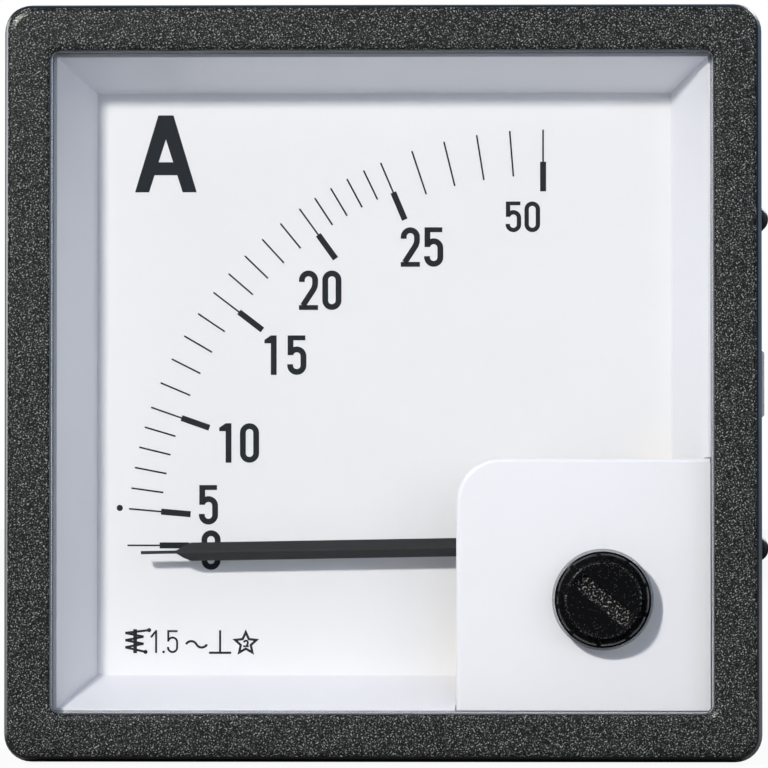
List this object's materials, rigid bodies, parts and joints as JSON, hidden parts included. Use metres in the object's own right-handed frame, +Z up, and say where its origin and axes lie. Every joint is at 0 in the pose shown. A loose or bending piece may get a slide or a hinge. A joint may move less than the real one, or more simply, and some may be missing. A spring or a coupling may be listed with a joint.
{
  "type": "moving-iron analog panel meter",
  "caption": "Square flush-mounting moving-iron ammeter: textured black bezel, clear window, white dial with compressed overload scale, pointer, slotted zero adjuster and rear terminal studs.",
  "frame": {"origin": "centre of the bezel's rear face, in the plane that seats on the panel", "axes": "+Y back through the panel cut-out, +X to the right as the dial is read, +Z up"},
  "size_m": [0.0752, 0.062, 0.072],
  "materials": {
    "black_textured": "spark-eroded grain",
    "black_moulded": "smooth moulded, satin",
    "black_gloss": "polished",
    "clear_plastic": "clear, polished",
    "white_plastic": "smooth satin",
    "white_enamel": "matt white with black print",
    "zinc_steel": "zinc plated",
    "bright_steel": "ground",
    "black_steel": "black oxide, oiled",
    "brass": "turned",
    "spring_bronze": "rolled strip",
    "brown_moulded": "phenolic",
    "natural_moulded": "unfilled nylon",
    "copper_wire": "enamelled copper",
    "soft_iron": "annealed",
    "plain_aluminium": "sheet",
    "black_enamel": "matt black paint"
  },
  "bodies": {
    "meter_body": {"bezel_frame": "black_textured", "window": "clear_plastic", "corner_mask": "white_plastic", "surround": "white_plastic", "dial_plate": "white_enamel", "rear_housing": "black_moulded", "side_clamp_right": "black_steel", "side_clamp_left": "black_steel", "terminal_stud_left": "brass", "terminal_stud_right": "brass", "stud_lock_nuts": "brass", "flat_washers": "brass", "spring_washers": "zinc_steel", "terminal_nuts": "brass", "movement_base": "brown_moulded", "base_screws": "zinc_steel", "coil_bobbin": "natural_moulded", "coil_winding": "copper_wire", "coil_lead_left": "copper_wire", "coil_lead_right": "copper_wire", "fixed_iron": "soft_iron", "rear_jewel_screw": "brass", "rear_jewel_nut": "brass", "bridge_pillars": "brass", "front_bridge": "plain_aluminium", "bridge_screws": "zinc_steel", "front_jewel_screw": "brass", "front_jewel_nut": "brass", "damping_chamber": "natural_moulded", "damping_lid": "natural_moulded"},
    "zero_lever": {"zero_lever": "brass", "hairspring": "spring_bronze"},
    "moving_element": {"spindle": "bright_steel", "spring_collet": "brass", "pointer": "black_enamel", "balance_cross": "bright_steel", "balance_weights": "brass", "moving_iron": "soft_iron", "damping_vane": "plain_aluminium"},
    "zero_adjuster": {"zero_adjuster": "black_gloss"},
    "jack_screw_right_top": {"jack_screw_right_top": "black_steel"},
    "jack_screw_right_bottom": {"jack_screw_right_bottom": "black_steel"},
    "jack_screw_left_top": {"jack_screw_left_top": "black_steel"},
    "jack_screw_left_bottom": {"jack_screw_left_bottom": "black_steel"}
  },
  "joints": [
    {"name": "zero_lever_swing", "type": "hinge", "parent": "meter_body", "child": "zero_lever", "pos_m": [0.0153, 0, -0.0155], "axis": [0, 1, 0], "range_deg": [-7.8, 7.8]},
    {"name": "pointer_swing", "type": "hinge", "parent": "zero_lever", "child": "moving_element", "pos_m": [0.0153, 0, -0.0155], "axis": [0, 1, 0], "range_deg": [-2, 94], "stiffness_Nm_per_rad": 0.00002, "deforming": ["hairspring"]},
    {"name": "zero_adjuster_turn", "type": "hinge", "parent": "meter_body", "child": "zero_adjuster", "pos_m": [0.0208, 0, -0.0205], "axis": [0, 1, 0], "range_deg": [-30, 30]},
    {"name": "jack_screw_right_top_travel", "type": "slide", "parent": "meter_body", "child": "jack_screw_right_top", "axis": [0, -1, 0], "range_m": [-0.012, 0.004]},
    {"name": "jack_screw_right_bottom_travel", "type": "slide", "parent": "meter_body", "child": "jack_screw_right_bottom", "axis": [0, -1, 0], "range_m": [-0.012, 0.004]},
    {"name": "jack_screw_left_top_travel", "type": "slide", "parent": "meter_body", "child": "jack_screw_left_top", "axis": [0, -1, 0], "range_m": [-0.002, 0.014]},
    {"name": "jack_screw_left_bottom_travel", "type": "slide", "parent": "meter_body", "child": "jack_screw_left_bottom", "axis": [0, -1, 0], "range_m": [-0.002, 0.014]}
  ],
  "couplings": [
    {"joint": "zero_lever_swing", "follows": "zero_adjuster_turn", "ratio": -0.256}
  ]
}
